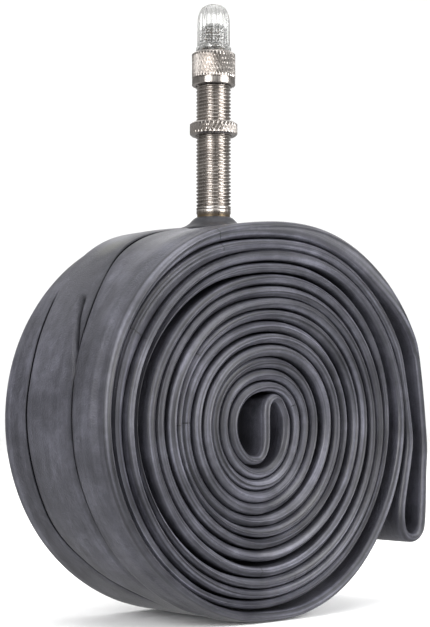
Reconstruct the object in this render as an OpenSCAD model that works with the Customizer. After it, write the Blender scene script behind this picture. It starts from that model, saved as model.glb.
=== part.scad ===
// Bicycle inner tube with a union-nut valve, deflated, folded double and rolled up.
// Millimetres. The roll's axis runs along Y and the valve stands along +Z.
// The origin is the centre of the flat patch that the roll rests on.

/* [Tube] */
// Width of the flattened tube, rim fold to rim fold
belt_width = 35; // [30:0.5:44]
// Thickness of one flattened layer of tube
belt_thick = 2.1; // [1.8:0.05:2.2]
// Gap left inside the flattened tube
bore_gap = 0.3; // [0.2:0.05:0.4]
// Wall left at each rim fold of the tube
rim_wall = 1.5; // [1:0.1:3]

/* [Roll] */
// Height of the roll's axis above the rest patch
axis_height = 42.6; // [42.4:0.05:42.8]
// Radius from which the windings start
start_radius = 3.52; // [3.4:0.01:3.7]
// Radial step from one layer to the next
layer_step = 2.573; // [2.55:0.005:2.7]
// How much lower the windings sit at the bottom than at the top
sag = 1.82; // [1.5:0.01:2]
// How far the windings lean away from the outer fold
lean = 2.11; // [1.9:0.01:2.3]
// Extra layer step on the side of the outer fold
slack = 0.27; // [0.2:0.01:0.35]
// Angle between points along a winding
turn_step = 10; // [5:5:15]

/* [Valve stem] */
// Crest diameter of the stem thread
stem_d = 7.7; // [7.6:0.05:8]
// Diameter of the plain neck between the foot and the thread
neck_d = 7.3; // [7:0.1:7.6]
// Height at which the neck leaves the rubber foot
neck_z = 87.1; // [86.5:0.1:88]
// Height at which the thread starts
thread_z = 89.1; // [88.5:0.1:90]
// Height of the top of the stem
stem_top_z = 121; // [120:0.1:122]
// Diameter of the rubber foot where it meets the tube
foot_d = 12.4; // [11:0.1:14]

/* [Nuts and cap] */
// Outer diameter of the round rim nut
rim_nut_d = 10.6; // [10:0.1:12]
// Thickness of the rim nut
rim_nut_h = 3; // [2.5:0.1:4]
// Height of the rim nut's lower face where it is parked on the thread
rim_nut_z = 105.5; // [100:0.1:108]
// Outer diameter of the union nut
union_d = 9.7; // [9.5:0.1:10.5]
// Height of the union nut's lower face
union_z = 116.7; // [116:0.1:117.5]
// Height of the union nut's upper face
union_top_z = 124.4; // [124:0.1:125]
// Outer diameter of the dust cap at its mouth
cap_d = 7.9; // [7.4:0.1:8.4]
// Height of the top of the dust cap
cap_top_z = 135.1; // [134:0.1:137]

/* [Valve core] */
// Crest diameter of the pump thread on the core
nipple_d = 5.2; // [5:0.05:5.3]
// Height of the top of the core
nipple_top_z = 129.2; // [128:0.1:130]
// Diameter of the collar that the union nut clamps
collar_d = 6.6; // [6.4:0.1:7]
// Diameter of the check ball
ball_d = 2.4; // [2.2:0.1:2.6]

/* [Hidden] */
// Running clearance on radius between sliding metal parts
fit = 0.05;
// Facets that mark a true round
round_fn = 64;
// Roundness left out of the windings: taller than wide, and skewed, more so towards the outer fold
oval = 0.36;
skew = 0.55;
skew_side = 0.45;
// Turns each run makes after its first pass below the axis
full_turns = 6;
// Where the outermost layer is opened out from the one beneath it
outer_lift = 0.9;
// Width of the teardrop opening above the outer fold
teardrop = 2.9;
// Loose gaps between layers, each [layer below it at the bottom, start angle, end angle, width]
// Angles run clockwise from the bottom, seen from the front.
loose_gaps = [[12, -10, 190, 1], [10, 0, 180, 1], [13, -170, 15, 1]];
// Layers over which a loose gap dies away
gap_reach = 4;
// Inner fold, from the first pass of one run to the first pass of the other: [x, height from axis]
inner_fold = [[-2.4, -8.35], [-0.75, -7.2], [-0.05, -4.8], [-0.05, 0], [0, 2.5], [0.7, 4],
    [2.2, 4.6], [3.7, 4], [4.8, 2.4]];
// Outer fold, from the inner leg down, round and up the outer leg
outer_fold = [[46.7, -3], [46, -9.5], [44.6, -15], [43.6, -20], [43.7, -24], [45, -26.4],
    [47, -27.2], [49.1, -26], [50.1, -23], [50.3, -13], [50.5, -4]];

// Air port through the outer wall, under the stem
port_d = 3;
// Play left between the tube and the rubber foot that lies on it
foot_seat = 0.1;
// Stem's foot flange, bonded into the rubber
flange_d = 8.6;
flange_h = 0.5;
// Bores of the stem: air below, core guide above, with a tapered seat between
air_bore_d = 3;
low_bore_d = 4.8;
low_bore_z = 100;
core_bore_d = 5.8;
seat_z = 112.2;
seat_h = 1.6;
// Key that stops the core turning in the stem
key_w = 1.2;
key_h = 1;
// Core shank, air passage, clamping collar and ball chamber
core_d = 4.2;
passage_d = 1.6;
collar_h = 1.1;
chamber_d = 3;
core_foot_z = 102;
chamber_top_z = 105.15;
// Notched ring under the ball
cage_h = 0.8;
cage_bore_d = 1.2;
notch_l = 2.3;
notch_w = 0.4;
// Straight skirt of the dust cap, and the wall left above the core
cap_skirt_h = 6.2;
cap_wall_top = 1.4;
// Top of the roll where the stem stands, and what is placed from it
tube_top_z = axis_height + run_radius(2, 360 * full_turns + 180) + belt_thick / 2;
flange_z = tube_top_z + 0.4;
ball_rest_z = core_foot_z + cage_h + sqrt(pow(ball_d / 2, 2) - pow(cage_bore_d / 2, 2)) + 0.02;

// Centreline radius of a winding; lap counts layers outward, a is clockwise from the top
function winding(lap, a) =
    start_radius - sag * cos(a) - lean * sin(a) + oval * cos(2 * a)
    + sin(2 * a) * (skew + skew_side * sin(a))
    + lap * (layer_step + slack * sin(a) * (1 + sin(a)));

// Rises from 0 at lo to 1 midway and back to 0 at hi
function hump(u, lo, hi) = u <= lo || u >= hi ? 0 : pow(sin(180 * (u - lo) / (hi - lo)), 2);

// Push of one loose gap on layer n at angle u, where one pass may be named by u or u - 360
function gap_push(g, n, u) =
    let (away = n - g[0] - 0.5,
         fade = exp(-max(0, abs(away) - 0.5) / gap_reach))
    hump(u, g[1], g[2]) * g[3] * 0.5 * fade * sign(away);
function gap_pass(g, n, u) =
    gap_push(g, n + 2, u - 360) + gap_push(g, n, u) + gap_push(g, n - 2, u + 360);
function gaps_push(n, u) =
    gap_pass(loose_gaps[0], n, u) + gap_pass(loose_gaps[1], n, u) + gap_pass(loose_gaps[2], n, u);

// The last pass lies proud of the layer beneath it and swings out over the teardrop
function outer_push(n, u) =
    let (pass = n + 2 * floor(u / 360), v = u - 360 * floor(u / 360))
    pass < 12 || (pass == 12 && v < 240) ? 0
    : pass == 12 ? 0.2 * outer_lift * (v - 240) / 120
    : pass == 14 ? outer_lift + teardrop * hump(v, 175, 290)
    : 0;

// Radius of a run that is layer n at its first pass; u is its whole clockwise angle from the bottom
function run_radius(n, u) =
    let (pass = floor(u / 360))
    winding(n + u / 180, u + 180) + gaps_push(n + 2 * pass, u - 360 * pass) + outer_push(n, u);

// The lowest layer is pressed flat where the roll rests
function rest_flat(p) = [p[0], max(p[1], belt_thick / 2 - axis_height)];
function run_point(n, u) =
    let (r = run_radius(n, u), a = u + 180) rest_flat([r * sin(a), r * cos(a)]);
function run(n, from, to) =
    let (steps = round((to - from) / turn_step))
    [for (i = [0:steps]) run_point(n, from + (to - from) * i / steps)];

// Smooth curve through points, m pieces between neighbours
function blend(a, b, c, d, t) =
    0.5 * (2 * b + (c - a) * t + (2 * a - 5 * b + 4 * c - d) * t * t + (3 * b - a - 3 * c + d) * t * t * t);
function smooth(p, m) = [for (i = [1:len(p) - 3]) for (j = [0:m - 1])
    blend(p[i - 1], p[i], p[i + 1], p[i + 2], j / m)];

odd_run = run(1, 30, 360 * full_turns + 260);
even_run = run(2, -100, 360 * full_turns + 260);
last_odd = len(odd_run) - 1;
last_even = len(even_run) - 1;
// Closed centreline: inner fold, outward along the even run, outer fold, back along the odd run
inner_curve = smooth(concat([odd_run[0]], inner_fold, [even_run[0], even_run[1]]), 3);
outer_curve = smooth(concat([odd_run[last_odd - 1], odd_run[last_odd]], outer_fold,
    [even_run[last_even], even_run[last_even - 1]]), 3);
centreline = concat(
    inner_curve,
    even_run,
    [for (i = [len(outer_curve) - 1:-1:1]) outer_curve[i]],
    [for (i = [last_odd:-1:0]) odd_run[i]]);

function unit(v) = v / norm(v);
function side_point(p, i, d) =
    let (n = len(p), t = unit(p[(i + 1) % n] - p[(i + n - 1) % n])) p[i] + d * [t[1], -t[0]];
function side_line(p, d) = [for (i = [0:len(p) - 1]) side_point(p, i, d)];

// Closed strip of the given thickness along the centreline
module strip(thick) {
    a = side_line(centreline, thick / 2);
    b = side_line(centreline, -thick / 2);
    n = len(a);
    polygon(concat(a, b), [[for (i = [0:n - 1]) i], [for (i = [0:n - 1]) n + i]]);
}
module across(width) {
    translate([0, width / 2, axis_height]) rotate([90, 0, 0]) linear_extrude(width) children();
}

// Turned part from [radius, height] pairs
module turned(outline) {
    rotate_extrude($fn = round_fn) polygon(outline);
}
module bar(d, from, to) {
    translate([0, 0, from]) cylinder(d = d, h = to - from, $fn = round_fn);
}

// One closed loop of butyl tube: two walls with a thin space between them
module tube() {
    color("#5c5d63") difference() {
        across(belt_width) strip(belt_thick);
        across(belt_width - 2 * rim_wall) strip(bore_gap);
        bar(port_d, tube_top_z - belt_thick / 2 - bore_gap / 4, tube_top_z + 1);
    }
}

// Rubber pad that carries the stem, vulcanised onto the outer wall
module valve_foot() {
    edge = foot_d / 2;
    drop = edge * edge / (2 * (tube_top_z - axis_height));
    color("#6a6b70") difference() {
        turned([[0, tube_top_z - drop], [edge, tube_top_z - drop], [edge, tube_top_z - drop + 0.5],
            [5.2, tube_top_z + 0.55], [4.4, tube_top_z + 1.2], [stem_d / 2, neck_z], [0, neck_z]]);
        translate([0, belt_width / 2, axis_height]) rotate([90, 0, 0])
            cylinder(r = tube_top_z - axis_height + foot_seat / 4, h = belt_width, $fn = 180);
        bar(port_d, tube_top_z - 2, neck_z + 1);
        bar(flange_d, flange_z, flange_z + flange_h);
        bar(neck_d, flange_z, neck_z + 1);
    }
}

// Threaded stem with its foot flange bonded into the rubber pad
module valve_stem() {
    r = stem_d / 2;
    color("#b3aca2") difference() {
        turned([[0, flange_z], [flange_d / 2, flange_z], [flange_d / 2, flange_z + flange_h],
            [neck_d / 2, flange_z + flange_h], [neck_d / 2, thread_z], [r, thread_z + 0.3],
            [r, stem_top_z - 0.3], [r - 0.3, stem_top_z], [0, stem_top_z]]);
        bar(air_bore_d, flange_z - 1, low_bore_z + 1);
        turned([[0, low_bore_z], [low_bore_d / 2, low_bore_z], [low_bore_d / 2, seat_z],
            [core_bore_d / 2, seat_z + seat_h], [core_bore_d / 2, stem_top_z + 1], [0, stem_top_z + 1]]);
        translate([-key_w / 2 - fit, 0, stem_top_z - key_h - fit])
            cube([key_w + 2 * fit, stem_d, key_h + 1]);
    }
}

// Round nut that holds the stem to the rim
module rim_nut() {
    r = rim_nut_d / 2;
    b = stem_d / 2 + fit;
    color("#a8a198") translate([0, 0, rim_nut_z])
        turned([[b, 0], [r - 0.4, 0], [r, 0.4], [r, rim_nut_h - 0.4], [r - 0.4, rim_nut_h], [b, rim_nut_h]]);
}

// Brass core: pump thread, collar with a locating key, guide and ball chamber
module core_body() {
    c = core_d / 2;
    g = core_bore_d / 2 - fit;
    n = nipple_d / 2;
    k = collar_d / 2;
    top = stem_top_z + collar_h;
    color("#b9a877") difference() {
        union() {
            turned([[0, core_foot_z], [c, core_foot_z], [c, seat_z + seat_h + 1.2],
                [g, seat_z + seat_h + 1.2], [g, stem_top_z], [k, stem_top_z], [k, top],
                [n, top], [n, nipple_top_z - 0.4], [n - 0.4, nipple_top_z], [0, nipple_top_z]]);
            translate([-key_w / 2, g - 0.5, stem_top_z - key_h]) cube([key_w, k - g + 0.4, key_h + 0.1]);
        }
        turned([[0, core_foot_z - 1], [chamber_d / 2, core_foot_z - 1], [chamber_d / 2, chamber_top_z],
            [passage_d / 2, chamber_top_z + 0.8], [0, chamber_top_z + 0.8]]);
        bar(passage_d, chamber_top_z, nipple_top_z + 1);
    }
}

// Rubber ring that seals the core against the stem's seat
module core_seal() {
    c = core_d / 2;
    low = seat_z + 0.45;
    color("#3a3a3c") turned([[c, low], [low_bore_d / 2 - 0.05, low],
        [core_bore_d / 2 - 0.15, seat_z + seat_h + 0.2], [core_bore_d / 2 - 0.15, seat_z + seat_h + 1.2],
        [c, seat_z + seat_h + 1.2]]);
}

// Crimped ring under the ball, notched so that air passes the ball
module ball_cage() {
    color("#b9a877") difference() {
        bar(chamber_d, core_foot_z, core_foot_z + cage_h);
        bar(cage_bore_d, core_foot_z - 1, core_foot_z + cage_h + 1);
        for (a = [0, 90]) rotate([0, 0, a])
            translate([-notch_l / 2, -notch_w / 2, core_foot_z - 1]) cube([notch_l, notch_w, 3]);
    }
}

// Ball that tyre pressure lifts onto its seat
module check_ball() {
    color("#c8c8cc") translate([0, 0, ball_rest_z]) sphere(d = ball_d, $fn = 48);
}

// Union nut that clamps the core's collar onto the stem
module union_nut() {
    r = union_d / 2;
    b = stem_d / 2 + fit;
    lip = stem_top_z + collar_h + fit;
    n = nipple_d / 2 + 2 * fit;
    color("#a8a198") turned([[b, union_z], [r - 0.3, union_z], [r, union_z + 0.3],
        [r, union_top_z - 0.9], [r - 0.6, union_top_z], [n, union_top_z], [n, lip], [b, lip]]);
}

// Clear screw cap over the pump thread
module dust_cap() {
    r = cap_d / 2;
    b = nipple_d / 2 + fit;
    foot = union_top_z + fit;
    shoulder = foot + cap_skirt_h;
    dome = cap_top_z - shoulder;
    color("#d8dcdc", 0.6) turned(concat(
        [[b, foot], [r, foot], [r, foot + 1.2]],
        [for (i = [0:8]) let (t = i * 10) [(r - 0.3) * pow(cos(t), 0.6), shoulder + dome * sin(t)]],
        [[0, cap_top_z], [0, nipple_top_z + cap_wall_top], [1.6, nipple_top_z + cap_wall_top],
         [b, nipple_top_z + 0.3]]));
}

tube();
valve_foot();
valve_stem();
rim_nut();
core_body();
core_seal();
ball_cage();
check_ball();
union_nut();
dust_cap();
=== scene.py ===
"""Looks of a bicycle inner tube: deflated, folded double, rolled up, with its valve standing on the roll."""

import math

import bmesh
import bpy
import numpy as np
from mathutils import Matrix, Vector, noise


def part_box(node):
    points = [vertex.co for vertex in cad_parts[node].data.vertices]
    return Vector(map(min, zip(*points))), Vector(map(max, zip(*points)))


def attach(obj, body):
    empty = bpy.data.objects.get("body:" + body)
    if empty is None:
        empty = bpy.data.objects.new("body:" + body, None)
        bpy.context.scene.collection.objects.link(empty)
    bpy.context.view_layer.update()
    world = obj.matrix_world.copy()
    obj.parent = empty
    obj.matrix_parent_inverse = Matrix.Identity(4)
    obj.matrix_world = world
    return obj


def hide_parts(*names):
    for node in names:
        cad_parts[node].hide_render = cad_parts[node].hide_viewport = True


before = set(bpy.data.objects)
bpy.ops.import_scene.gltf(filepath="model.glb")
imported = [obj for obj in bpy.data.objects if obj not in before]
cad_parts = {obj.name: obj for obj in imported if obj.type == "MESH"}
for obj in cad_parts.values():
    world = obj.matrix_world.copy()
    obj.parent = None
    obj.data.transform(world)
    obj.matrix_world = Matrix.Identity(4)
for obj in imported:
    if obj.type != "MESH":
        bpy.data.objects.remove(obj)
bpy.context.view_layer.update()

MM = 0.001

# ---------------------------------------------------------------- roll, in millimetres
AXIS_HEIGHT = 42.6
HALF_WIDTH = 17.5
HALF_THICK = 1.05
# Layers fill the room between them, within limits, and keep their own thickness where it is open
CLEAR = 0.05
LEAST_HALF = 0.45
MOST_HALF = 1.38
OPEN_FROM = 2.95
REACH = 7.0
FULL_TURNS = 6
# Radius of the centreline of the outer windings, every 30 degrees clockwise from the bottom
EVEN_START = 360 * 3
EVEN_RADII = (
    (25.9, 25.9, 25.9, 26.2, 25.4, 24.9, 24.9, 27.2, 29.2, 30.2, 30.6, 31.1),
    (31.8, 31.7, 31.4, 31.2, 30.4, 29.9, 30.2, 32.7, 35.0, 36.0, 36.1, 36.3),
    (36.6, 36.7, 36.6, 36.7, 35.7, 35.1, 35.2, 38.3, 41.4, 43.1, 43.0, 42.7),
    (41.6, 41.1, 41.9, 42.6, 42.5, 41.9, 41.6, 46.0, 50.0),
)
ODD_START = 360 * 4
ODD_RADII = (
    (28.8, 28.8, 28.7, 28.8, 28.0, 27.4, 27.5, 30.0, 32.2, 33.2, 33.6, 34.0),
    (34.4, 34.7, 34.8, 35.0, 34.0, 33.0, 32.6, 35.3, 37.7, 38.4, 38.4, 38.4),
    (38.7, 39.7, 40.1, 40.5, 40.1, 38.7, 37.8, 41.2, 44.1),
)
RUN_END = 360 * FULL_TURNS + 250
# Folds at the two ends of the doubled tube: (x, height from the roll's axis)
INNER_FOLD = (
    (-2.4, -8.35), (-0.85, -7.1), (-0.05, -4.8), (-0.05, 0), (0.0, 2.5), (0.75, 4.1),
    (2.2, 4.8), (3.75, 4.1), (4.9, 2.3),
)
OUTER_FOLD = (
    (45.7, -3), (45.1, -9.5), (43.9, -15), (42.9, -20), (43.0, -24), (44.3, -26.5),
    (46.8, -27.3), (49.1, -26.1), (50.1, -23), (50.5, -13), (50.7, -4),
)

# Creases of the outermost face, main and fine: (degrees clockwise from the bottom, y)
CREASE = (
    (12, -12.4), (24, -10.6), (34, -8.4), (44, -7.2), (58, -6.8), (100, -6.4), (115, -5.2),
    (129, -2.9), (139, -0.1), (148, 1.7), (159, 3.4), (173, 0.6), (186, 0.4),
)
FINE = (
    (26, -2.0), (34, 1.4), (47, 6.8), (56, 9.0), (104, 9.1), (114, 9.8), (123, 11.0), (131, 12.4),
)
# Where the two creases lie among the positions that follow, before warp() moves them
CREASE_Y = -6.9
FINE_Y = 8.9
# Positions across the belt at which the outer face is sampled, closest round the creases
OUTER_YS = (
    -13.6, -12.4, -11.2, -10.0, -8.5, -7.7, -7.3, -7.1, -6.9, -6.7, -6.5, -6.1, -5.4, -4.8, -4.2,
    -3.6, -3.0, -1.0, 1.5, 4.0, 6.6, 8.4, 8.7, 8.9, 9.1, 9.4, 11.0, 13.0, 14.4,
)
INNER_YS = (13.6, 9.0, 4.0, -1.0, -6.0, -11.0, -14.0)
REAR_STEPS = 8
# Folded rims: how far they round back, how squarely, and the parting ridge along them
RIM_DEPTH = 2.6
BLUNTNESS = 0.42
RIDGE = 0.32
RIDGE_WIDTH = 0.16
# Most half thickness at the inner fold
FOLD_HALF = 0.95
# Where the last two windings swell: most half thickness, and what is left free of the gap
SWELL_13 = (3.2, 1.15)
SWELL_14 = (3.3, 1.2)
# Girth from the last point of a ring back to its first
LAST_STEP = 0.5


def sin_deg(a):
    return math.sin(math.radians(a))


def cos_deg(a):
    return math.cos(math.radians(a))


def smoothstep(x, lo, hi):
    t = min(1.0, max(0.0, (x - lo) / (hi - lo)))
    return t * t * (3 - 2 * t)


def bump(x, centre, width):
    """1 at the centre, 0 beyond width on either side."""
    t = min(1.0, abs(x - centre) / width)
    return (1 - t * t) ** 2


def winding(lap, a):
    """Even spiral that the inner windings follow; a is clockwise from the top."""
    s, c = sin_deg(a), cos_deg(a)
    base = 3.52 - 1.82 * c - 2.11 * s + 0.36 * cos_deg(2 * a)
    skew = sin_deg(2 * a) * (0.55 + 0.45 * s)
    return base + skew + lap * (2.573 + 0.27 * s * (1 + s))


def catmull(a, b, c, d, t):
    cubic = (3 * b - a - 3 * c + d) * t ** 3
    return 0.5 * (2 * b + (c - a) * t + (2 * a - 5 * b + 4 * c - d) * t * t + cubic)


def correction(first, start, passes, u):
    """How far a winding lies from the even spiral, from its radii at every 30 degrees."""
    radii = [r for row in passes for r in row]
    off = [r - winding(first + (start + 30 * i) / 180, start + 30 * i + 180) for i, r in enumerate(radii)]
    off = [0.0, 0.0, 0.4 * off[0]] + off + [off[-1], off[-1]]
    at = (u - start) / 30 + 3
    if at <= 1:
        return 0.0
    i = min(int(at), len(off) - 3)
    return catmull(off[i - 1], off[i], off[i + 1], off[i + 2], min(1.0, at - i))


def run_point(first, start, passes, u):
    """Point of a run at angle u from its start at the bottom; no layer sinks below the ground."""
    a = u + 180
    r = winding(first + u / 180, a) + correction(first, start, passes, u)
    low = HALF_THICK - AXIS_HEIGHT
    z = r * cos_deg(a)
    soft = 0.5
    if z < low + soft:
        z = low + soft * math.exp((z - low - soft) / soft)
    return (r * sin_deg(a), z)


def run(first, start, passes, begin):
    """Points of a run every two degrees or so, from angle begin to the outer fold."""
    steps = int((RUN_END - begin) / 2)
    angles = [begin + (RUN_END - begin) * i / steps for i in range(steps + 1)]
    return [(u, run_point(first, start, passes, u)) for u in angles]


def through(points, pieces):
    """Smooth curve through all points but the first and last, which only set its direction."""
    out = []
    for i in range(1, len(points) - 2):
        for j in range(pieces):
            t = j / pieces
            out.append(tuple(
                catmull(points[i - 1][k], points[i][k], points[i + 1][k], points[i + 2][k], t)
                for k in range(2)
            ))
    return out


def closed_centreline():
    """Points of the loop, each with its winding angle and its run: 1 odd, 2 even, 0 inner fold, -1 outer."""
    odd = run(1, ODD_START, ODD_RADII, 30)
    even = run(2, EVEN_START, EVEN_RADII, -100)
    # A fold's curve starts and ends on the runs; points a little further along set its direction
    inner = through([odd[2][1], odd[0][1]] + list(INNER_FOLD) + [even[0][1], even[2][1]], 10)
    outer = through([odd[-6][1], odd[-1][1]] + list(OUTER_FOLD) + [even[-1][1], even[-6][1]], 10)
    loop = [(p, None, 0) for p in inner]
    loop += [(p, u, 2) for u, p in even]
    loop += [(p, None, -1) for p in reversed(outer[1:])]
    loop += [(p, u, 1) for u, p in reversed(odd)]
    return loop


def resample(loop):
    """Rings along the loop, closer together where it bends sharply."""
    pts = np.array([p for p, _, _ in loop])
    n = len(pts)
    nxt = np.roll(pts, -1, 0)
    seg = np.linalg.norm(nxt - pts, axis=1)
    along = np.concatenate([[0], np.cumsum(seg)])
    total = along[-1]
    head = np.arctan2(*(nxt - pts).T)
    turn = np.abs((np.roll(head, -1) - head + np.pi) % (2 * np.pi) - np.pi)
    bend = np.convolve(np.concatenate([turn[-4:], turn, turn[:4]]), np.ones(9) / 9, "valid")
    bend = bend / np.maximum(seg, 0.05)
    pace = np.clip(0.16 / np.maximum(bend, 1e-4), 0.4, 1.55)
    density = np.concatenate([[0], np.cumsum(seg / pace)])
    count = int(density[-1])
    at = np.interp(np.arange(count) * density[-1] / count, density, along)
    keep = np.searchsorted(along, at, "right") - 1
    keep = np.clip(keep, 0, n - 1)
    t = ((at - along[keep]) / seg[keep])[:, None]
    out = pts[keep] * (1 - t) + nxt[keep] * t
    out = (np.roll(out, 1, 0) + 2 * out + np.roll(out, -1, 0)) / 4
    names = []
    for i, f in zip(keep, t[:, 0]):
        j = (i + 1) % n
        u0, u1 = loop[i][1], loop[j][1]
        same = loop[i][2] == loop[j][2] and u0 is not None and u1 is not None
        names.append((u0 + (u1 - u0) * f if same else u0, loop[i][2]))
    return out, at, total, names


def room(points, normals, along, total, side, reach):
    """Distance along the normal to the next layer of the tube, up to reach."""
    n = len(points)
    a, b = points, np.roll(points, -1, 0)
    e = b - a
    found = np.full(n, reach)
    for i in range(n):
        d = normals[i] * side
        w = a - points[i]
        cross = d[0] * e[:, 1] - d[1] * e[:, 0]
        safe = np.where(np.abs(cross) < 1e-9, 1e-9, cross)
        t = (w[:, 0] * e[:, 1] - w[:, 1] * e[:, 0]) / safe
        s = (w[:, 0] * d[1] - w[:, 1] * d[0]) / safe
        gap = np.abs((along - along[i] + total / 2) % total - total / 2)
        hit = (t > 0.3) & (s >= 0) & (s <= 1) & (gap > 4) & (t < found[i])
        if hit.any():
            found[i] = t[hit].min()
    return found


def even_out(values, passes):
    """Smallest of near neighbours, then a few rounds of averaging, all round the loop."""
    low = np.minimum.reduce([np.roll(values, k) for k in (-2, -1, 0, 1, 2)])
    for _ in range(passes):
        low = (np.roll(low, 1) + 2 * low + np.roll(low, -1)) / 4
    return low


def half_thickness(gap):
    """Half of a layer's thickness on the side where the next layer is gap away."""
    half = np.minimum(gap / 2 - CLEAR, MOST_HALF)
    half[gap >= OPEN_FROM] = HALF_THICK
    return np.maximum(even_out(half, 6), LEAST_HALF)


def layer_of(u, which):
    """Number of the layer, counted outward along the bottom, and the angle clockwise from the bottom."""
    if u is None:
        return which, 0.0
    return which + 2 * math.floor(u / 360), u % 360


def thinning(layer, v):
    """Share of its usual thickness where a layer is stretched thin."""
    share = 1.0
    if layer == 11:
        share -= 0.35 * bump(v, 95, 90) + 0.3 * bump(v, 262, 100)
    if layer == 9 or layer == 12:
        share -= 0.08 * bump(v, 90, 90)
    return share


def front_edge(layer, v, s):
    """How far behind the front plane a layer's rim lies."""
    wander = noise.noise(Vector((s / 95, 3.7, 0.2))) * 0.95 + noise.noise(Vector((s / 30, 9.1, 1.4))) * 0.2
    back = wander
    if layer == 13:
        back += 0.7 * bump(v, 85, 95)
    if layer == 11:
        back += 0.9 * bump(v, 95, 80) + 0.8 * bump(v, 270, 80)
    if layer == 10:
        back += 0.5 * bump(v, 90, 80)
    if layer == 12:
        back += 0.6 * bump(v, 270, 80)
    if layer in (3, 6, 9):
        back += 0.45
    if layer in (4, 8):
        back -= 0.2
    return back


def rear_edge(s):
    """How far before the rear plane the belt ends."""
    return noise.noise(Vector((s / 80, 21.3, 5.2))) * 0.8


def eased(v, knots):
    """Value at angle v of a line through (angle, value) knots, with its corners rounded."""
    at, values = zip(*knots)
    return float(np.interp([v - 6, v - 3, v, v + 3, v + 6], at, values).mean())


def crease_line(v):
    """Where the main crease runs across the belt, at angle v clockwise from the bottom."""
    return eased(v, CREASE)


def fine_line(v):
    """Where the fine line further back runs."""
    return eased(v, FINE)


def slit_line(v):
    """Where the side branch of the crease runs; it leaves the crease and ends suddenly."""
    return crease_line(v) + 3.7 * smoothstep(v, 99, 127)


def warp(y, v):
    """Moves a sampling position of the outer face along with the crease and the fine line."""
    crease = max(-12.6, min(crease_line(v), 4.0))
    fine = max(crease + 5.2, min(fine_line(v), 12.4))
    known = (OUTER_YS[0], CREASE_Y - 0.8, CREASE_Y + 0.8, FINE_Y - 0.5, FINE_Y + 0.5, OUTER_YS[-1])
    moved = (OUTER_YS[0], crease - 0.8, crease + 0.8, fine - 0.5, fine + 0.5, OUTER_YS[-1])
    return float(np.interp(y, known, moved))


def crease_extent(v):
    """1 where the outermost face is creased, 0 beyond."""
    return smoothstep(v, 12, 26) * (1 - smoothstep(v, 172, 188))


def fine_extent(v):
    return smoothstep(v, 22, 32) * (1 - smoothstep(v, 124, 131))


def slit_extent(v):
    return smoothstep(v, 97, 107) * (1 - smoothstep(v, 125.5, 127))


def crease_shade(u, y):
    """Painted shade, 0 to 1: how deep inside the crease, its branch or the fine line a point lies, and a
    little darker beyond the fine line.
    """
    v = u - 360 * FULL_TURNS
    main = crease_extent(v) * math.exp(-(((y - crease_line(v) - 0.16) / 0.4) ** 2))
    soft = 0.3 * crease_extent(v) * math.exp(-(((y - crease_line(v) - 0.6) / 1.4) ** 2))
    fine = 0.8 * fine_extent(v) * math.exp(-(((y - fine_line(v) - 0.08) / 0.27) ** 2))
    slit = slit_extent(v) * math.exp(-(((y - slit_line(v)) / 0.5) ** 2))
    # Painted shade: the face is a little darker beyond the fine line
    rear = 0.2 * fine_extent(v) * smoothstep(y, fine_line(v), fine_line(v) + 1.5)
    return max(min(1.0, 1.8 * main), soft, min(1.0, 1.6 * fine), slit, rear)


def crease_profile(u, y):
    """Dents and swellings of the outermost face, outward positive, in millimetres."""
    v = u - 360 * FULL_TURNS
    swell = smoothstep(v, -10, 30) * (1 - smoothstep(v, 180, 200))
    if swell == 0:
        return 0.0
    d = y - crease_line(v)
    crease = -0.75 * math.exp(-((d / 0.32) ** 2))
    front_lip = 0.45 * math.exp(-(((d + 1.0) / 0.9) ** 2))
    beyond = -0.25 * math.exp(-(((d - 1.0) / 1.2) ** 2))
    high = 0.45 + 0.5 * bump(v, 155, 22)
    rise = high * smoothstep(v, 128, 150) * (1 - smoothstep(v, 186, 200)) * smoothstep(d, -0.3, 0.9)
    fine = -0.4 * fine_extent(v) * math.exp(-(((y - fine_line(v)) / 0.24) ** 2))
    slit = -0.7 * slit_extent(v) * math.exp(-(((y - slit_line(v)) / 0.5) ** 2))
    lobe = 0.6 * bump(y, -11.5, 5.0)
    back_lobe = 0.3 * bump(y, 1.2, 7.0)
    waves = 0.16 * noise.noise(Vector((v / 14, y / 6, 2.0)))
    folds = crease_extent(v) * (crease + front_lip + beyond) + slit + fine + rise
    lobe *= 1 - smoothstep(v, 150, 175)
    back_lobe *= 1 - smoothstep(v, 140, 165)
    return folds + swell * (lobe + back_lobe + waves)


# ---------------------------------------------------------------- mesh helpers
def make_object(name, verts, faces, material, smooth=True):
    mesh = bpy.data.meshes.new(name)
    mesh.from_pydata([tuple(v) for v in verts], [], faces)
    mesh.validate()
    mesh.update()
    for p in mesh.polygons:
        p.use_smooth = smooth
    obj = bpy.data.objects.new(name, mesh)
    bpy.context.scene.collection.objects.link(obj)
    mesh.materials.append(material)
    return obj


def grid_faces(rings, around, closed_rings=False):
    """Quads between neighbouring rings of points."""
    faces = []
    last = rings if closed_rings else rings - 1
    for i in range(last):
        a = i * around
        b = ((i + 1) % rings) * around
        for j in range(around):
            k = (j + 1) % around
            faces.append((a + j, a + k, b + k, b + j))
    return faces


def lathe(name, outline, material, around, shape, sharp):
    """Closed body turned about Z from a closed outline of (radius, height) in millimetres.
    shape(radius, height, angle, index) may return another radius and height."""
    verts = []
    for k in range(around):
        a = 2 * math.pi * k / around
        for i, (r, z) in enumerate(outline):
            r, z = shape(r, z, a, i)
            verts.append((r * math.cos(a) * MM, r * math.sin(a) * MM, z * MM))
    n = len(outline)
    faces = []
    for k in range(around):
        m = (k + 1) % around
        for i in range(n):
            j = (i + 1) % n
            faces.append((k * n + i, m * n + i, m * n + j, k * n + j))
    obj = make_object(name, verts, faces, material)
    clean(obj)
    sharpen(obj, sharp)
    return obj


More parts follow.
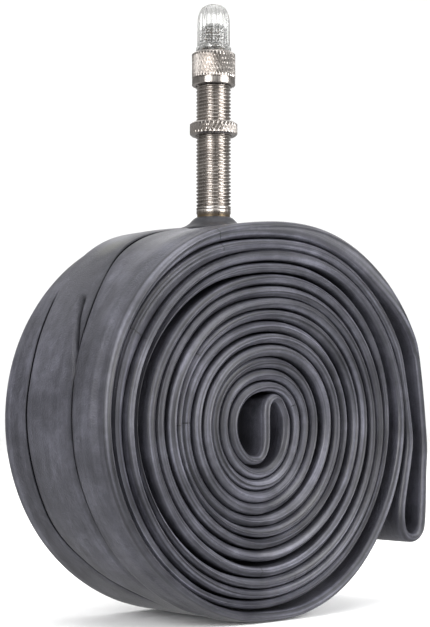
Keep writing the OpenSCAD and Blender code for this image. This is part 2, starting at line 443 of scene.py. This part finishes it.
def clean(obj, weld=True):
    """Turns all faces outward, and welds points that meet, such as those on the axis."""
    bm = bmesh.new()
    bm.from_mesh(obj.data)
    if weld:
        bmesh.ops.remove_doubles(bm, verts=bm.verts, dist=1e-7)
        bmesh.ops.dissolve_degenerate(bm, edges=bm.edges, dist=1e-8)
    bmesh.ops.recalc_face_normals(bm, faces=bm.faces)
    bm.to_mesh(obj.data)
    bm.free()


def sharpen(obj, degrees):
    """Edges that turn more than this stay crisp; the rest are shaded smooth."""
    obj.data.set_sharp_from_angle(angle=math.radians(degrees))


# ---------------------------------------------------------------- materials
def srgb(r, g, b):
    def one(c):
        c = c / 255
        return c / 12.92 if c <= 0.04045 else ((c + 0.055) / 1.055) ** 2.4

    return (one(r), one(g), one(b), 1.0)


class Nodes:
    """Short names for building one material's nodes."""

    def __init__(self, name):
        self.material = bpy.data.materials.new(name)
        self.material.use_nodes = True
        self.tree = self.material.node_tree
        self.shader = self.tree.nodes["Principled BSDF"]

    def add(self, kind, **values):
        node = self.tree.nodes.new("ShaderNode" + kind)
        for key, value in values.items():
            if key in node.inputs:
                node.inputs[key].default_value = value
            else:
                setattr(node, key, value)
        return node

    def link(self, a, out, b, into):
        self.tree.links.new(a.outputs[out], b.inputs[into])

    def set(self, **values):
        for key, value in values.items():
            self.shader.inputs[key.replace("_", " ")].default_value = value

    def ramp(self, stops):
        node = self.tree.nodes.new("ShaderNodeValToRGB")
        ramp = node.color_ramp
        while len(ramp.elements) < len(stops):
            ramp.elements.new(0.5)
        for element, (at, colour) in zip(ramp.elements, stops):
            element.position = at
            element.color = colour if len(colour) == 4 else (*colour, 1.0)
        return node


def grey(v):
    return (v, v, v, 1.0)


def stretched_noise(n, coords, out, stretch, scale, detail):
    """Noise drawn out into streaks by a different scale on each axis."""
    mapping = n.add("Mapping")
    mapping.inputs["Scale"].default_value = stretch
    n.link(coords, out, mapping, "Vector")
    tex = n.add("TexNoise", Scale=scale, Detail=detail)
    n.link(mapping, "Vector", tex, "Vector")
    return tex


def mixed(n, kind, factor, a, b):
    """Mix node for colours; factor, a and b are numbers, colours or (node, output)."""
    mix = n.tree.nodes.new("ShaderNodeMix")
    mix.data_type = "RGBA"
    mix.blend_type = kind
    for index, value in ((0, factor), (6, a), (7, b)):
        if isinstance(value, tuple) and hasattr(value[0], "outputs"):
            n.tree.links.new(value[0].outputs[value[1]], mix.inputs[index])
        else:
            mix.inputs[index].default_value = value
    return mix, 2


BUTYL_DARK = (41, 41, 47)
BUTYL_MID = (58, 58, 65)
BUTYL_LIGHT = (78, 78, 87)
# Painted shade lines at the splice steps and moulding nibs: angle clockwise from the top, radii between
# which it runs, and half its width
SPLICE_NIB_SHADE = (
    (341, 37.5, 45.0, 0.14), (297, 36.5, 41.2, 0.16), (305, 23.0, 25.2, 0.12), (269, 21.0, 23.5, 0.13),
    (67, 7.7, 10.0, 0.12), (183, 30.0, 33.5, 0.12), (167, 34.0, 35.6, 0.14), (268, 24.2, 26.0, 0.12),
)


def splice_nib_shade_mask(n, pos, edge):
    """Mask of the splice lines and moulding nibs across the front edges, where dark lines are painted in
    place of their shade; returns (node, output).
    """
    total = None
    for ray, near, far, half in SPLICE_NIB_SHADE:
        shifted = n.add("VectorMath", operation="SUBTRACT")
        shifted.inputs[1].default_value = (0.0, 0.0, AXIS_HEIGHT * MM)
        n.link(pos, "Object", shifted, 0)
        parts = []
        for axis, centre, reach in (
            ((cos_deg(ray), 0.0, -sin_deg(ray)), 0.0, half),
            ((sin_deg(ray), 0.0, cos_deg(ray)), (near + far) / 2, (far - near) / 2),
        ):
            along = n.add("VectorMath", operation="DOT_PRODUCT")
            along.inputs[1].default_value = axis
            n.link(shifted, "Vector", along, 0)
            inside = n.add("Math", operation="COMPARE")
            inside.inputs[1].default_value = centre * MM
            inside.inputs[2].default_value = reach * MM
            n.link(along, "Value", inside, 0)
            parts.append(inside)
        both = n.add("Math", operation="MULTIPLY")
        n.link(parts[0], 0, both, 0)
        n.link(parts[1], 0, both, 1)
        if total:
            joined = n.add("Math", operation="MAXIMUM")
            n.link(total, 0, joined, 0)
            n.link(both, 0, joined, 1)
            both = joined
        total = both
    limited = n.add("Math", operation="MULTIPLY")
    n.link(total, 0, limited, 0)
    n.link(edge, "Fac", limited, 1)
    return limited, 0


def butyl_material():
    """Soft black butyl: dusty bloom, long mould streaks, talc specks, faint scuffs and fine grain, with
    painted shade in the creases, on pressed faces and at the splice steps and nibs.
    """
    n = Nodes("butyl")
    uv = n.add("UVMap", uv_map="tube")
    pos = n.add("TexCoord")
    bloom = n.add("TexNoise", Scale=70.0, Detail=9.0, Roughness=0.78)
    n.link(pos, "Object", bloom, "Vector")
    edge = n.add("Attribute", attribute_name="edge")
    streak = stretched_noise(n, uv, "UV", (12.0, 900.0, 1.0), 1.0, 3.0)
    lines = stretched_noise(n, uv, "UV", (18.0, 1500.0, 1.0), 1.0, 2.0)
    grain = n.add("TexNoise", Scale=2600.0, Detail=2.0)
    n.link(pos, "Object", grain, "Vector")
    speck = n.add("TexVoronoi", Scale=620.0)
    n.link(pos, "Object", speck, "Vector")
    speck_cut = n.ramp([(0.0, grey(1.0)), (0.045, grey(1.0)), (0.075, grey(0.0))])
    n.link(speck, "Distance", speck_cut, "Fac")
    patch = n.add("TexNoise", Scale=55.0, Detail=3.0)
    n.link(pos, "Object", patch, "Vector")
    patch_cut = n.ramp([(0.5, grey(0.0)), (0.72, grey(1.0))])
    n.link(patch, "Fac", patch_cut, "Fac")
    base = n.ramp([
        (0.34, srgb(*BUTYL_DARK)),
        (0.5, srgb(*BUTYL_MID)),
        (0.66, srgb(*BUTYL_LIGHT)),
    ])
    n.link(bloom, "Fac", base, "Fac")
    streaks = n.ramp([(0.35, grey(0.86)), (0.5, grey(1.0)), (0.68, grey(1.16))])
    n.link(streak, "Fac", streaks, "Fac")
    wide = mixed(n, "MULTIPLY", 1.0, (base, "Color"), (streaks, "Color"))
    thin = n.ramp([(0.36, grey(0.4)), (0.5, grey(0.85)), (0.64, grey(1.65))])
    n.link(lines, "Fac", thin, "Fac")
    lined = mixed(n, "MULTIPLY", (edge, "Fac"), wide, (thin, "Color"))
    talc = mixed(n, "MULTIPLY", 1.0, (speck_cut, "Color"), (patch_cut, "Color"))
    talc_amount = n.add("Math", operation="MULTIPLY")
    talc_amount.inputs[1].default_value = 0.5
    n.link(talc[0], 2, talc_amount, 0)
    dusted = mixed(n, "MIX", (talc_amount, 0), lined, srgb(150, 150, 152))
    # Painted shade: the crease attribute darkens the colour nearly to black in the creases, the slit, beyond
    # the fine line, on pressed faces and at their corners, and the same mask takes the specular away there
    crease = n.add("Attribute", attribute_name="crease")
    apart = n.add("VectorMath", operation="DISTANCE")
    apart.inputs[1].default_value = (-22 * MM, 7 * MM, 79 * MM)
    n.link(pos, "Object", apart, 0)
    smudge = n.add("MapRange")
    smudge.inputs["From Min"].default_value = 5 * MM
    smudge.inputs["From Max"].default_value = 1.5 * MM
    smudge.inputs["To Max"].default_value = 0.4
    n.link(apart, "Value", smudge, "Value")
    smudged = mixed(n, "MIX", (smudge, "Result"), dusted, srgb(82, 82, 68))
    # Painted shade: near black lines at the splice steps and moulding nibs
    splice_nib_shaded = mixed(n, "MIX", splice_nib_shade_mask(n, pos, edge), smudged, srgb(14, 14, 16))
    deep = mixed(n, "MIX", (crease, "Fac"), splice_nib_shaded, srgb(7, 7, 9))
    n.link(deep[0], 2, n.shader, "Base Color")
    shine = n.add("MapRange")
    shine.inputs["To Min"].default_value = 0.5
    shine.inputs["To Max"].default_value = 0.0
    n.link(crease, "Fac", shine, "Value")
    n.link(shine, "Result", n.shader, "Specular IOR Level")
    rough = n.ramp([(0.3, grey(0.34)), (0.7, grey(0.5))])
    n.link(patch, "Fac", rough, "Fac")
    n.link(rough, "Color", n.shader, "Roughness")
    height = mixed(n, "MIX", (edge, "Fac"), (grain, "Fac"), (lines, "Fac"))
    relief = n.add("Bump", Strength=0.6, Distance=0.00018)
    n.link(height[0], 2, relief, "Height")
    n.link(relief, "Normal", n.shader, "Normal")
    return n.material


def foot_material():
    """Moulded rubber of the valve foot, a little paler and smoother than the tube."""
    n = Nodes("foot_rubber")
    pos = n.add("TexCoord")
    cloud = n.add("TexNoise", Scale=160.0, Detail=4.0)
    n.link(pos, "Object", cloud, "Vector")
    base = n.ramp([(0.3, srgb(28, 28, 32)), (0.7, srgb(41, 41, 46))])
    n.link(cloud, "Fac", base, "Fac")
    n.link(base, "Color", n.shader, "Base Color")
    grain = n.add("TexNoise", Scale=2400.0, Detail=2.0)
    n.link(pos, "Object", grain, "Vector")
    relief = n.add("Bump", Strength=0.2, Distance=0.0001)
    n.link(grain, "Fac", relief, "Height")
    n.link(relief, "Normal", n.shader, "Normal")
    n.set(Roughness=0.5, Specular_IOR_Level=0.4)
    return n.material


def metal_material(name, dark, light, rough, tarnish=None):
    """Plated metal with drawn streaks, slight tarnish clouds and fine pitting."""
    n = Nodes(name)
    pos = n.add("TexCoord")
    cloud = n.add("TexNoise", Scale=260.0, Detail=5.0)
    n.link(pos, "Object", cloud, "Vector")
    base = n.ramp([(0.32, srgb(*dark)), (0.62, srgb(*light))])
    n.link(cloud, "Fac", base, "Fac")
    colour = (base, "Color")
    if tarnish:
        low, high, tone = tarnish
        height = n.add("SeparateXYZ")
        n.link(pos, "Object", height, "Vector")
        zone = n.add("MapRange")
        zone.inputs["From Min"].default_value = low * MM
        zone.inputs["From Max"].default_value = high * MM
        zone.inputs["To Min"].default_value = 1.0
        zone.inputs["To Max"].default_value = 0.0
        n.link(height, "Z", zone, "Value")
        toned = mixed(n, "MIX", (zone, "Result"), colour, srgb(*tone))
        colour = (toned[0], 2)
    n.tree.links.new(colour[0].outputs[colour[1]], n.shader.inputs["Base Color"])
    scratch = stretched_noise(n, pos, "Object", (1.0, 1.0, 0.08), 3000.0, 2.0)
    spread = n.ramp([(0.3, grey(max(0.05, rough - 0.08))), (0.7, grey(rough + 0.12))])
    n.link(scratch, "Fac", spread, "Fac")
    n.link(spread, "Color", n.shader, "Roughness")
    relief = n.add("Bump", Strength=0.12, Distance=0.00004)
    n.link(scratch, "Fac", relief, "Height")
    n.link(relief, "Normal", n.shader, "Normal")
    n.set(Metallic=1.0)
    return n.material


def clear_material():
    """Clear moulded plastic, with the slight cloudiness of a cheap cap."""
    n = Nodes("clear_cap")
    pos = n.add("TexCoord")
    haze = n.add("TexNoise", Scale=420.0, Detail=3.0)
    n.link(pos, "Object", haze, "Vector")
    rough = n.ramp([(0.3, grey(0.06)), (0.7, grey(0.16))])
    n.link(haze, "Fac", rough, "Fac")
    n.link(rough, "Color", n.shader, "Roughness")
    n.set(Base_Color=(0.5, 0.5, 0.49, 1.0), Transmission_Weight=0.92, IOR=1.4)
    return n.material


def seal_material():
    """Dark moulded rubber of the core's seal."""
    n = Nodes("seal_rubber")
    pos = n.add("TexCoord")
    cloud = n.add("TexNoise", Scale=500.0, Detail=3.0)
    n.link(pos, "Object", cloud, "Vector")
    base = n.ramp([(0.3, srgb(36, 36, 38)), (0.7, srgb(52, 52, 55))])
    n.link(cloud, "Fac", base, "Fac")
    n.link(base, "Color", n.shader, "Base Color")
    n.set(Roughness=0.6)
    return n.material


# ---------------------------------------------------------------- tube
def rim(theta, half_a, half_b, depth, ridge, lean=0.0):
    """Point of a folded rim: theta from -90 on side B, through 0 at the apex, to 90 on side A.
    lean moves the foremost line of the rim towards one side, in degrees."""
    s, c = sin_deg(theta), cos_deg(theta)
    half = half_a if s > 0 else half_b
    across = half * s
    tilted = cos_deg(theta - lean * c)
    back = depth * (1 - max(0.0, tilted) ** BLUNTNESS)
    back -= ridge * math.exp(-((across / RIDGE_WIDTH) ** 2))
    return across, back


def front_angles():
    near = (4.0, 8.0, 14.0, 30.0, 48.0, 62.0, 76.0, 90.0)
    return [-a for a in reversed(near)] + [0.0] + list(near)


def build_tube(material):
    """Flattened tube swept along the closed centreline: a ring of points for every step of it.
    Side A faces outward along the even run, side B the other way."""
    loop = closed_centreline()
    points, along, total, names = resample(loop)
    n = len(points)
    tangent = np.roll(points, -1, 0) - np.roll(points, 1, 0)
    tangent /= np.linalg.norm(tangent, axis=1)[:, None]
    normal = np.stack([-tangent[:, 1], tangent[:, 0]], 1)
    gap_a = room(points, normal, along, total, 1, REACH)
    gap_b = room(points, normal, along, total, -1, REACH)
    free_a, free_b = even_out(gap_a, 8), even_out(gap_b, 8)
    half_a, half_b = half_thickness(gap_a), half_thickness(gap_b)
    verts = []
    uvs = []
    shades = []
    edges = []
    rim_angles = front_angles()
    for i in range(n):
        u, which = names[i]
        layer, v = layer_of(u, which)
        s = along[i]
        thin = thinning(layer, v) if u is not None else 1.0
        a, b = half_a[i] * thin, half_b[i] * thin
        if u is not None and which == 2 and u > 360 * FULL_TURNS - 90:
            a = min(a, HALF_THICK)
        if which == 0:
            a, b = min(a, FOLD_HALF), min(b, FOLD_HALF)
        # On the left a slot stands open between the last two windings
        if layer in (13, 14):
            b *= 1 - 0.52 * bump(v, 82, 44)
        # Both are only half flattened, and swell into the space inside them
        if layer == 14:
            swell = smoothstep(v, 60, 85) * (1 - smoothstep(v, 226, 250))
            b += swell * max(0.0, min(SWELL_14[0], free_b[i] - SWELL_14[1]) - b)
        if layer == 13:
            swell = smoothstep(v, 10, 40) * (1 - smoothstep(v, 190, 215))
            a += swell * max(0.0, min(SWELL_13[0], free_a[i] - SWELL_13[1]) - a)
        front = -HALF_WIDTH + front_edge(layer, v, s)
        rear = HALF_WIDTH - rear_edge(s)
        outermost = u is not None and which == 2 and u > 360 * FULL_TURNS - 40
        blunt = smoothstep(u, 2100, 2180) if outermost else 0.0
        depth = RIM_DEPTH + 0.5 * blunt + 0.5 * noise.noise(Vector((s / 60, 1.1, 8.8)))
        lean = 26 * noise.noise(Vector((s / 70, 14.2, 3.3)))
        uneven = 1 - 0.22 * max(0.0, noise.noise(Vector((s / 45, 6.4, 12.0))))
        a, b = a * uneven, b * uneven
        x, z = points[i]
        nx, nz = normal[i]
        ring = []
        # Painted shade: faces pressed against the next layer are darkened in colour, and so are the corners
        # next to them
        pressed_shade_a = 0.0 if outermost else 0.7 * (1 - smoothstep(free_a[i], 2.9, 3.6))
        pressed_shade_b = 0.7 * (1 - smoothstep(free_b[i], 2.9, 3.6))
        shade = [(pressed_shade_a if t > 0 else pressed_shade_b) * smoothstep(abs(t), 60, 90) for t in rim_angles]
        shade += [pressed_shade_a] * len(OUTER_YS) + [0.0] * (REAR_STEPS + 1) + [pressed_shade_b] * len(INNER_YS)
        for theta in rim_angles:
            off, back = rim(theta, a, b, depth, RIDGE, lean)
            ring.append((off, front + back))
        scale = (rear - front) / (2 * HALF_WIDTH)
        for y0 in OUTER_YS:
            off = a
            if outermost:
                y0 = warp(y0, u - 360 * FULL_TURNS)
                off += crease_profile(u, y0)
                shade[len(ring)] = crease_shade(u, y0)
            y = front + (y0 + HALF_WIDTH) * scale
            ring.append((off, y))
        for j in range(REAR_STEPS + 1):
            off, back = rim(90 - 180 * j / REAR_STEPS, a, b, RIM_DEPTH, 0.0)
            ring.append((off, rear - back))
        for y0 in INNER_YS:
            ring.append((-b, front + (y0 + HALF_WIDTH) * scale))
        shades += shade
        edges += [cos_deg(t) ** 0.5 for t in rim_angles] + [0.0] * len(OUTER_YS)
        edges += [sin_deg(180 * j / REAR_STEPS) for j in range(REAR_STEPS + 1)] + [0.0] * len(INNER_YS)
        girth = 0.0
        for j, (off, y) in enumerate(ring):
            if j:
                girth += math.hypot(off - ring[j - 1][0], y - ring[j - 1][1])
            px, pz = x + nx * off, z + nz * off + AXIS_HEIGHT
            verts.append((px * MM, y * MM, max(pz, 0.0) * MM))
            uvs.append((s * MM, girth * MM))
    around = len(ring)
    faces = grid_faces(n, around, closed_rings=True)
    obj = make_object("inner_tube", verts, faces, material)
    # The crease attribute holds painted shade for the butyl material
    obj.data.attributes.new("crease", "FLOAT", "POINT").data.foreach_set("value", shades)
    obj.data.attributes.new("edge", "FLOAT", "POINT").data.foreach_set("value", edges)
    uv_layer = obj.data.uv_layers.new(name="tube")
    once_round = total * MM
    girths = [uvs[i * around + around - 1][1] for i in range(n)]
    for poly in obj.data.polygons:
        rings = [obj.data.loops[k].vertex_index // around for k in poly.loop_indices]
        cols = [obj.data.loops[k].vertex_index % around for k in poly.loop_indices]
        wrap_u = max(rings) - min(rings) > 1
        wrap_v = max(cols) - min(cols) > 1
        for k, rg, cl in zip(poly.loop_indices, rings, cols):
            uu, vv = uvs[rg * around + cl]
            if wrap_u and rg == 0:
                uu += once_round
            if wrap_v and cl == 0:
                vv = girths[rg] + LAST_STEP * MM
            uv_layer.data[k].uv = (uu, vv)
    clean(obj, weld=False)
    return obj


# ---------------------------------------------------------------- valve
PITCH = 0.794
THREAD_DEPTH = 0.46
NIPPLE_PITCH = 0.8
STEM_R = 3.85
NECK_R = 3.65
THREAD_Z = 89.1
STEM_TOP = 121.0


def wave(t):
    """Rounded V thread between 0 at the crest and 1 at the root."""
    t = t % 1.0
    v = 1 - abs(2 * t - 1)
    return smoothstep(v, 0.12, 0.9)


def build_stem(material):
    """Threaded stem with flange and stepped bore."""
    flange_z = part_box("valve_stem")[0].z / MM
    step = PITCH / 8
    outline = [(4.3, flange_z), (4.3, flange_z + 0.5), (NECK_R, flange_z + 0.55), (NECK_R, THREAD_Z - 1.1)]
    outline += [(NECK_R + 0.16, THREAD_Z - 0.9), (NECK_R + 0.16, THREAD_Z - 0.2), (NECK_R - 0.05, THREAD_Z)]
    first = len(outline)
    z = THREAD_Z + 0.05
    while z < STEM_TOP - 0.25:
        outline.append((STEM_R, z))
        z += step
    last = len(outline)
    outline += [(STEM_R - 0.3, STEM_TOP), (2.9, STEM_TOP), (2.9, 113.8), (2.4, 112.2), (2.4, 100.0)]
    outline += [(1.5, 99.95), (1.5, flange_z)]

    def shape(r, z, a, i):
        if first <= i < last:
            run_out = 1 - smoothstep(z, STEM_TOP - 0.9, STEM_TOP - 0.2)
            depth = THREAD_DEPTH * smoothstep(z, THREAD_Z, THREAD_Z + 0.9) * run_out
            r -= depth * wave(z / PITCH - a / (2 * math.pi))
            r -= 0.3 * smoothstep(z, STEM_TOP - 0.6, STEM_TOP - 0.2)
        return r, z

    return lathe("valve_stem_threaded", outline, material, 64, shape, 50)


def knurl(outline, lo, hi, teeth, lean, depth, name, material):
    """Nut turned from (radius, height, toothed) points, with slanting teeth between two heights."""
    def shape(r, z, a, i):
        if outline[i][2]:
            turn = a + lean * (z - lo)
            tooth = abs((turn * teeth / (2 * math.pi)) % 1.0 * 2 - 1)
            edge = smoothstep(z, lo - 0.05, lo + 0.3) * (1 - smoothstep(z, hi - 0.3, hi + 0.05))
            r -= depth * edge * smoothstep(tooth, 0.1, 0.95)
        return r, z

    return lathe(name, [(r, z) for r, z, _ in outline], material, teeth * 8, shape, 38)


def build_rim_nut(material):
    lo, hi = 105.5, 108.5
    bore, out = 3.9, 5.3
    side = [(out, lo + 0.4 + 2.2 * k / 8, True) for k in range(9)]
    outline = [(bore + 0.25, lo, False), (out - 0.45, lo, False)] + side
    outline += [(out - 0.45, hi, False), (bore + 0.25, hi, False)]
    outline += [(bore, hi - 0.25, False), (bore, lo + 0.25, False)]
    return knurl(outline, lo + 0.4, hi - 0.4, 34, -0.115, 0.42, "rim_nut_knurled", material)


def build_union_nut(material):
    lo, hi = 116.7, 124.4
    out = 4.85
    foot = 118.35
    side = [(out, foot + 0.12 + (hi - 0.75 - foot) * k / 16, True) for k in range(17)]
    outline = [(3.95, lo, False), (out - 0.22, lo, False), (out - 0.02, lo + 0.2, False)]
    outline += [(out - 0.02, foot - 0.25, False), (out - 0.2, foot - 0.1, False)]
    outline += [(out - 0.2, foot + 0.02, False)] + side
    outline += [(out - 0.28, hi - 0.32, False), (out - 0.85, hi - 0.02, False)]
    outline += [(out - 1.1, hi, False), (2.75, hi, False)]
    outline += [(2.7, 122.15, False), (3.9, 122.1, False), (3.9, lo + 0.3, False)]
    return knurl(outline, foot + 0.1, hi - 0.7, 40, 0.1, 0.38, "union_nut_knurled", material)


def build_core(material):
    """Brass core: nipple with pump thread above the collar, guide and ball chamber below."""
    step = NIPPLE_PITCH / 8
    outline = [(1.5, 102.0), (2.1, 102.0), (2.1, 115.0), (2.85, 115.0), (2.85, 121.0), (3.3, 121.0)]
    outline += [(3.3, 122.1), (2.6, 122.1)]
    first = len(outline)
    z = 122.2
    while z < 128.8:
        outline.append((2.6, z))
        z += step
    last = len(outline)
    outline += [(2.2, 129.2), (0.95, 129.2), (0.8, 129.0), (0.8, 105.95), (1.5, 105.15)]

    def shape(r, z, a, i):
        if first <= i < last:
            depth = 0.36 * smoothstep(z, 122.4, 123.0) * (1 - smoothstep(z, 128.2, 128.7))
            r -= depth * wave(z / NIPPLE_PITCH - a / (2 * math.pi))
            r -= 0.35 * smoothstep(z, 128.3, 128.8)
        return r, z

    obj = lathe("core_nipple", outline, material, 56, shape, 50)
    key_w, key_in, key_out = 0.6, 2.45, 3.28
    plan = ((-key_w, key_in), (key_w, key_in), (key_w, key_out), (-key_w, key_out))
    corners = [(x, y, z) for z in (120.02, 121.02) for x, y in plan]
    key = make_object(
        "core_key",
        [(x * MM, y * MM, z * MM) for x, y, z in corners],
        [(3, 2, 1, 0), (4, 5, 6, 7), (0, 1, 5, 4), (1, 2, 6, 5), (2, 3, 7, 6), (3, 0, 4, 7)],
        material,
        smooth=False,
    )
    return obj, key


def build_cap(material):
    """Clear domed screw cap with fine upright ribs and a turned foot."""
    foot, top = 124.45, 135.1
    shoulder = foot + 6.4
    out = 3.95
    ribs = 20
    outline = [(2.7, foot), (out - 0.1, foot), (out, foot + 0.15)]
    outline += [(out, foot + 0.75), (out - 0.2, foot + 0.95)]
    first = len(outline)
    for k in range(8):
        outline.append((out - 0.3, foot + 1.1 + (shoulder - foot - 1.1) * k / 7))
    for k in range(1, 12):
        t = 90 * k / 12
        r = (out - 0.3) * max(0.0, cos_deg(t)) ** 0.62
        outline.append((r, shoulder + (top - shoulder) * sin_deg(t)))
    last = len(outline)
    outline += [(0.0, top), (0.0, 130.6), (1.5, 130.5), (2.3, 129.9), (2.65, 129.3)]
    z = 129.0
    while z > foot + 0.4:
        outline.append((2.65 + (0.22 if int((z - foot) / 0.4) % 2 else 0.0), z))
        z -= 0.2

    def shape(r, z, a, i):
        if first <= i < last:
            fade = 1 - smoothstep(z, top - 1.6, top - 0.35)
            r -= 0.3 * fade * (0.5 + 0.5 * math.cos(a * ribs)) * smoothstep(z, foot + 0.9, foot + 1.6)
        return r, z

    return lathe("dust_cap_ribbed", outline, material, ribs * 8, shape, 40)


def build_foot(material):
    """Rubber foot: a thin skirt bonded over the roll's curve, rising to a collar round the stem."""
    roll_r = 84.2 - AXIS_HEIGHT
    crown = 85.2
    rings = [
        (7.6, -0.1), (7.4, 0.1), (7.0, 0.22), (6.5, 0.32), (6.0, 0.5), (5.4, 0.85), (4.95, 1.3),
        (4.6, 1.65), (4.25, 1.95), (3.95, 2.12), (3.72, 2.16),
    ]
    around = 72
    verts = []
    for r, h in rings:
        for k in range(around):
            a = 2 * math.pi * k / around
            x, y = r * math.cos(a), r * math.sin(a)
            drop = (roll_r + 1.0) - math.sqrt((roll_r + 1.0) ** 2 - x * x)
            follow = smoothstep(r, 4.0, 8.0)
            uneven = 0.06 * noise.noise(Vector((x / 2.2, y / 2.2, 4.0))) * smoothstep(r, 4.5, 7)
            verts.append((x * MM, y * MM, (crown + h - drop * (0.35 + 0.65 * follow) + uneven) * MM))
    for r in (3.66, 7.5):
        for k in range(around):
            a = 2 * math.pi * k / around
            x, y = r * math.cos(a), r * math.sin(a)
            drop = (roll_r + 1.0) - math.sqrt((roll_r + 1.0) ** 2 - x * x)
            verts.append((x * MM, y * MM, (crown - drop - 0.4) * MM))
    faces = grid_faces(len(rings) + 2, around, closed_rings=True)
    obj = make_object("valve_foot_moulded", verts, faces, material)
    clean(obj)
    sharpen(obj, 55)
    return obj


# ---------------------------------------------------------------- stage, lights, camera
def make_stage():
    """Pale floor that rises all round into a pale wall."""
    outline = [(0.0, 0.0), (0.5, 0.0), (1.0, 0.0), (1.5, 0.0)]
    outline += [(1.5 + 0.8 * sin_deg(t), 0.8 - 0.8 * cos_deg(t)) for t in range(10, 91, 10)]
    outline += [(2.3, 2.6)]
    around = 96
    verts = []
    for r, z in outline:
        for k in range(around):
            a = 2 * math.pi * k / around
            verts.append((r * math.cos(a), r * math.sin(a), z))
    n = Nodes("studio_paper")
    pos = n.add("TexCoord")
    fibre = n.add("TexNoise", Scale=30.0, Detail=3.0)
    n.link(pos, "Object", fibre, "Vector")
    tone = n.ramp([(0.3, grey(0.94)), (0.7, grey(0.95))])
    n.link(fibre, "Fac", tone, "Fac")
    n.link(tone, "Color", n.shader, "Base Color")
    n.set(Roughness=0.9, Specular_IOR_Level=0.1)
    floor = make_object("studio_floor", verts, grid_faces(len(outline), around), n.material)
    floor.visible_glossy = False
    return floor


def softbox(name, position, target, width, height, power):
    data = bpy.data.lights.new(name, "AREA")
    data.shape = "RECTANGLE"
    data.size = width
    data.size_y = height
    data.energy = power
    obj = bpy.data.objects.new(name, data)
    obj.location = position
    aim = Vector(target) - Vector(position)
    obj.rotation_euler = aim.to_track_quat("-Z", "Y").to_euler()
    obj.visible_camera = False
    bpy.context.scene.collection.objects.link(obj)
    return obj


# Camera: degrees from straight ahead towards the left, metres, lens in millimetres, degrees
AZIMUTH = 41.4
DISTANCE = 0.3624
EYE_HEIGHT = 0.046
LENS = 94.31
PITCH_UP = 3.17
YAW = 0.05


def make_camera():
    data = bpy.data.cameras.new("camera")
    data.lens = LENS
    data.sensor_fit = "AUTO"
    data.sensor_width = 36
    data.clip_start = 0.01
    data.clip_end = 50
    obj = bpy.data.objects.new("camera", data)
    bpy.context.scene.collection.objects.link(obj)
    obj.location = (-DISTANCE * sin_deg(AZIMUTH), -DISTANCE * cos_deg(AZIMUTH), EYE_HEIGHT)
    obj.rotation_euler = (math.radians(90 + PITCH_UP), 0, math.radians(-(AZIMUTH + YAW)))
    bpy.context.scene.camera = obj
    return obj


def make_light():
    world = bpy.data.worlds.new("studio")
    bpy.context.scene.world = world
    world.use_nodes = True
    back = world.node_tree.nodes["Background"]
    back.inputs["Strength"].default_value = 0.9
    nodes, links = world.node_tree.nodes, world.node_tree.links
    where = nodes.new("ShaderNodeTexCoord")
    parts = nodes.new("ShaderNodeSeparateXYZ")
    sky = nodes.new("ShaderNodeValToRGB")
    links.new(where.outputs["Generated"], parts.inputs[0])
    height = nodes.new("ShaderNodeMapRange")
    height.inputs["From Min"].default_value = -1.0
    links.new(parts.outputs["Z"], height.inputs["Value"])
    links.new(height.outputs["Result"], sky.inputs["Fac"])
    links.new(sky.outputs["Color"], back.inputs["Color"])
    while len(sky.color_ramp.elements) < 4:
        sky.color_ramp.elements.new(0.5)
    stops = ((0.3, 0.6), (0.5, 0.26), (0.58, 0.26), (0.87, 1.0))
    for element, (at, value) in zip(sky.color_ramp.elements, stops):
        element.position = at
        element.color = grey(value)
    aim = (0, 0, 0.06)
    softbox("left", (-0.94, -0.36, 0.36), aim, 0.45, 0.9, 11.0)
    softbox("right", (0.38, -0.95, 0.36), aim, 0.6, 0.9, 17.0)
    softbox("top", (-0.1, -0.2, 1.1), aim, 0.8, 0.8, 6.0)
    softbox("rear", (0.7, 0.8, 0.5), aim, 0.7, 0.7, 2.0)


# ---------------------------------------------------------------- assembly
def place(obj, body, slot, *nodes):
    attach(obj, body)
    if nodes:
        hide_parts(*nodes)


butyl = butyl_material()
neck_tarnish = (87.6, 88.7, (142, 126, 102))
nickel = metal_material("nickel_stem", (150, 144, 139), (180, 174, 169), 0.3, neck_tarnish)
nut_nickel = metal_material("nickel_nut", (156, 150, 145), (188, 182, 177), 0.27)
brass = metal_material("core_brass", (96, 78, 56), (126, 104, 76), 0.32)
steel = metal_material("ball_steel", (150, 152, 156), (190, 192, 196), 0.15)
clear = clear_material()
seal = seal_material()

place(build_tube(butyl), "tube_and_stem", "butyl", "tube")
place(build_foot(foot_material()), "tube_and_stem", "foot_rubber", "valve_foot")
place(build_stem(nickel), "tube_and_stem", "nickel_stem", "valve_stem")
place(build_rim_nut(nut_nickel), "rim_nut", "nickel_nut", "rim_nut")
place(build_union_nut(nut_nickel), "union_nut", "nickel_nut", "union_nut")
place(build_cap(clear), "dust_cap", "clear_cap", "dust_cap")
nipple, key = build_core(brass)
place(nipple, "core", "core_brass", "core_body")
place(key, "core", "core_brass")
for name, material in (("core_seal", seal), ("ball_cage", brass), ("check_ball", steel)):
    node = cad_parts[name]
    node.data.materials.clear()
    node.data.materials.append(material)

make_stage()
make_light()
make_camera()
bpy.context.scene.view_settings.view_transform = "Standard"
